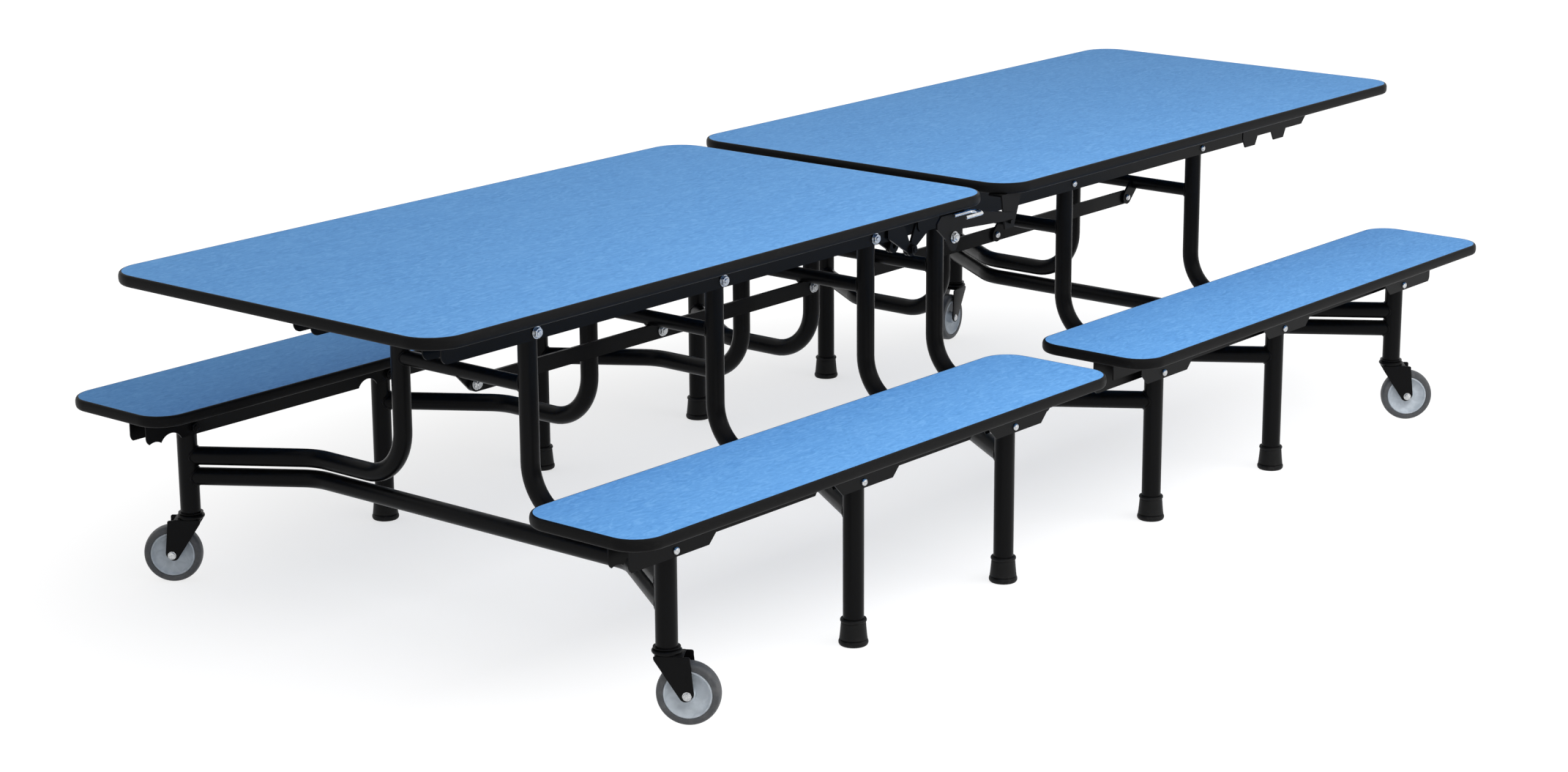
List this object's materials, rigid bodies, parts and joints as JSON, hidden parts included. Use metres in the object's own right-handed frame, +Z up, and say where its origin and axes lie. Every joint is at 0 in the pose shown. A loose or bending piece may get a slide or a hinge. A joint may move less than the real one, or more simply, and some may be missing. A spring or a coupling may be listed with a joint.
{
  "type": "folding cafeteria table with benches",
  "caption": "Mobile cafeteria table whose two halves and attached benches fold up on upright tube frames with rubber feet and swivel casters.",
  "frame": {"origin": "on the floor below the middle of the table", "axes": "+X along the table, +Y across it to the far side, +Z up"},
  "size_m": [3.048, 1.429, 0.686],
  "materials": {
    "laminate": "blue high-pressure laminate on particle board, fine pebbled texture",
    "edge_band": "black bullnose edge, satin",
    "frame_paint": "black powder coat, half gloss",
    "bolt_steel": "zinc plated",
    "handle_chrome": "bright plated wire",
    "foot_rubber": "black rubber",
    "tyre_grey": "dark grey non-marking rubber",
    "hub_plastic": "pale grey plastic"
  },
  "bodies": {
    "left_end_frame": {"left_end_frame": "frame_paint", "left_end_frame_bolts": "bolt_steel"},
    "left_top": {"left_top_board": "laminate", "left_top_edge": "edge_band", "left_top_rails": "frame_paint", "left_stow_bracket": "frame_paint", "hinge_bolts": "bolt_steel", "latch_bracket": "frame_paint", "latch_bolt": "bolt_steel"},
    "right_top": {"right_top_board": "laminate", "right_top_edge": "edge_band", "right_top_rails": "frame_paint", "right_stow_bracket": "frame_paint", "latch_strike": "frame_paint"},
    "latch_lever": {"latch_lever": "frame_paint", "latch_handle": "handle_chrome"},
    "left_tie_bar": {"left_tie_bar": "frame_paint"},
    "right_tie_bar": {"right_tie_bar": "frame_paint"},
    "right_end_frame": {"right_end_frame": "frame_paint", "right_end_frame_bolts": "bolt_steel"},
    "left_mid_frame": {"left_mid_frame": "frame_paint", "left_mid_frame_bolts": "bolt_steel", "left_mid_feet": "foot_rubber"},
    "right_mid_frame": {"right_mid_frame": "frame_paint", "right_mid_frame_bolts": "bolt_steel", "right_mid_feet": "foot_rubber"},
    "left_inner_frame": {"left_inner_frame": "frame_paint", "left_inner_frame_bolts": "bolt_steel", "left_inner_feet": "foot_rubber"},
    "right_inner_frame": {"right_inner_frame": "frame_paint", "right_inner_frame_bolts": "bolt_steel", "right_inner_feet": "foot_rubber"},
    "left_near_bench": {"left_near_bench_board": "laminate", "left_near_bench_edge": "edge_band", "left_near_bench_rail": "frame_paint"},
    "left_far_bench": {"left_far_bench_board": "laminate", "left_far_bench_edge": "edge_band", "left_far_bench_rail": "frame_paint"},
    "right_near_bench": {"right_near_bench_board": "laminate", "right_near_bench_edge": "edge_band", "right_near_bench_rail": "frame_paint"},
    "right_far_bench": {"right_far_bench_board": "laminate", "right_far_bench_edge": "edge_band", "right_far_bench_rail": "frame_paint"},
    "left_near_caster_fork": {"left_near_caster_fork": "frame_paint", "left_near_caster_axle": "bolt_steel"},
    "left_near_caster_wheel": {"left_near_caster_tyre": "tyre_grey", "left_near_caster_hub": "hub_plastic"},
    "left_far_caster_fork": {"left_far_caster_fork": "frame_paint", "left_far_caster_axle": "bolt_steel"},
    "left_far_caster_wheel": {"left_far_caster_tyre": "tyre_grey", "left_far_caster_hub": "hub_plastic"},
    "right_near_caster_fork": {"right_near_caster_fork": "frame_paint", "right_near_caster_axle": "bolt_steel"},
    "right_near_caster_wheel": {"right_near_caster_tyre": "tyre_grey", "right_near_caster_hub": "hub_plastic"},
    "right_far_caster_fork": {"right_far_caster_fork": "frame_paint", "right_far_caster_axle": "bolt_steel"},
    "right_far_caster_wheel": {"right_far_caster_tyre": "tyre_grey", "right_far_caster_hub": "hub_plastic"}
  },
  "joints": [
    {"name": "fold", "type": "hinge", "parent": "left_end_frame", "child": "left_top", "pos_m": [-1.06, 0, 0.577], "axis": [0, -1, 0], "range_deg": [0, 78]},
    {"name": "centre_hinge", "type": "hinge", "parent": "left_top", "child": "right_top", "pos_m": [0, 0, 0.537], "axis": [0, 1, 0], "range_deg": [0, 156]},
    {"name": "left_mid_frame_pivot", "type": "hinge", "parent": "left_top", "child": "left_mid_frame", "pos_m": [-0.564, 0, 0.577], "axis": [0, 1, 0], "range_deg": [0, 78]},
    {"name": "right_mid_frame_pivot", "type": "hinge", "parent": "right_top", "child": "right_mid_frame", "pos_m": [0.564, 0, 0.577], "axis": [0, -1, 0], "range_deg": [0, 78]},
    {"name": "left_inner_frame_pivot", "type": "hinge", "parent": "left_top", "child": "left_inner_frame", "pos_m": [-0.112, 0, 0.577], "axis": [0, 1, 0], "range_deg": [0, 78]},
    {"name": "right_inner_frame_pivot", "type": "hinge", "parent": "right_top", "child": "right_inner_frame", "pos_m": [0.112, 0, 0.577], "axis": [0, -1, 0], "range_deg": [0, 78]},
    {"name": "right_end_frame_pivot", "type": "hinge", "parent": "right_top", "child": "right_end_frame", "pos_m": [1.06, 0, 0.577], "axis": [0, -1, 0], "range_deg": [0, 78]},
    {"name": "left_near_bench_pivot", "type": "hinge", "parent": "left_end_frame", "child": "left_near_bench", "pos_m": [-1.198, -0.598, 0.305], "axis": [0, -1, 0], "range_deg": [0, 78]},
    {"name": "left_far_bench_pivot", "type": "hinge", "parent": "left_end_frame", "child": "left_far_bench", "pos_m": [-1.198, 0.598, 0.305], "axis": [0, -1, 0], "range_deg": [0, 78]},
    {"name": "left_tie_bar_pivot", "type": "hinge", "parent": "left_end_frame", "child": "left_tie_bar", "pos_m": [-1.03, 0, 0.449], "axis": [0, -1, 0], "range_deg": [0, 78]},
    {"name": "right_near_bench_pivot", "type": "hinge", "parent": "right_end_frame", "child": "right_near_bench", "pos_m": [1.198, -0.598, 0.305], "axis": [0, 1, 0], "range_deg": [0, 78]},
    {"name": "right_far_bench_pivot", "type": "hinge", "parent": "right_end_frame", "child": "right_far_bench", "pos_m": [1.198, 0.598, 0.305], "axis": [0, 1, 0], "range_deg": [0, 78]},
    {"name": "right_tie_bar_pivot", "type": "hinge", "parent": "right_end_frame", "child": "right_tie_bar", "pos_m": [1.03, 0, 0.449], "axis": [0, 1, 0], "range_deg": [0, 78]},
    {"name": "left_near_caster_swivel", "type": "hinge", "parent": "left_end_frame", "child": "left_near_caster_fork", "pos_m": [-1.198, -0.598, 0.13], "axis": [0, 0, 1], "continuous": true},
    {"name": "left_near_caster_roll", "type": "hinge", "parent": "left_near_caster_fork", "child": "left_near_caster_wheel", "pos_m": [-1.17892, -0.62853, 0.055], "axis": [0.848, 0.5299, 0], "continuous": true},
    {"name": "left_far_caster_swivel", "type": "hinge", "parent": "left_end_frame", "child": "left_far_caster_fork", "pos_m": [-1.198, 0.598, 0.13], "axis": [0, 0, 1], "continuous": true},
    {"name": "left_far_caster_roll", "type": "hinge", "parent": "left_far_caster_fork", "child": "left_far_caster_wheel", "pos_m": [-1.22114, 0.62558, 0.055], "axis": [-0.766, -0.6428, 0], "continuous": true},
    {"name": "right_near_caster_swivel", "type": "hinge", "parent": "right_end_frame", "child": "right_near_caster_fork", "pos_m": [1.198, -0.598, 0.13], "axis": [0, 0, 1], "continuous": true},
    {"name": "right_near_caster_roll", "type": "hinge", "parent": "right_near_caster_fork", "child": "right_near_caster_wheel", "pos_m": [1.22016, -0.62637, 0.055], "axis": [0.788, 0.6157, 0], "continuous": true},
    {"name": "right_far_caster_swivel", "type": "hinge", "parent": "right_end_frame", "child": "right_far_caster_fork", "pos_m": [1.198, 0.598, 0.13], "axis": [0, 0, 1], "continuous": true},
    {"name": "right_far_caster_roll", "type": "hinge", "parent": "right_far_caster_fork", "child": "right_far_caster_wheel", "pos_m": [1.16255, 0.59175, 0.055], "axis": [0.1736, -0.9848, 0], "continuous": true},
    {"name": "latch_lift", "type": "hinge", "parent": "left_top", "child": "latch_lever", "pos_m": [-0.13, -0.386, 0.611], "axis": [0, -1, 0], "range_deg": [0, 6]}
  ],
  "couplings": [
    {"joint": "centre_hinge", "follows": "fold", "ratio": 2},
    {"joint": "left_mid_frame_pivot", "follows": "fold", "ratio": 1},
    {"joint": "right_mid_frame_pivot", "follows": "fold", "ratio": 1},
    {"joint": "left_inner_frame_pivot", "follows": "fold", "ratio": 1},
    {"joint": "right_inner_frame_pivot", "follows": "fold", "ratio": 1},
    {"joint": "right_end_frame_pivot", "follows": "fold", "ratio": 1},
    {"joint": "left_near_bench_pivot", "follows": "fold", "ratio": 1},
    {"joint": "left_far_bench_pivot", "follows": "fold", "ratio": 1},
    {"joint": "left_tie_bar_pivot", "follows": "fold", "ratio": 1},
    {"joint": "right_near_bench_pivot", "follows": "fold", "ratio": 1},
    {"joint": "right_far_bench_pivot", "follows": "fold", "ratio": 1},
    {"joint": "right_tie_bar_pivot", "follows": "fold", "ratio": 1}
  ]
}
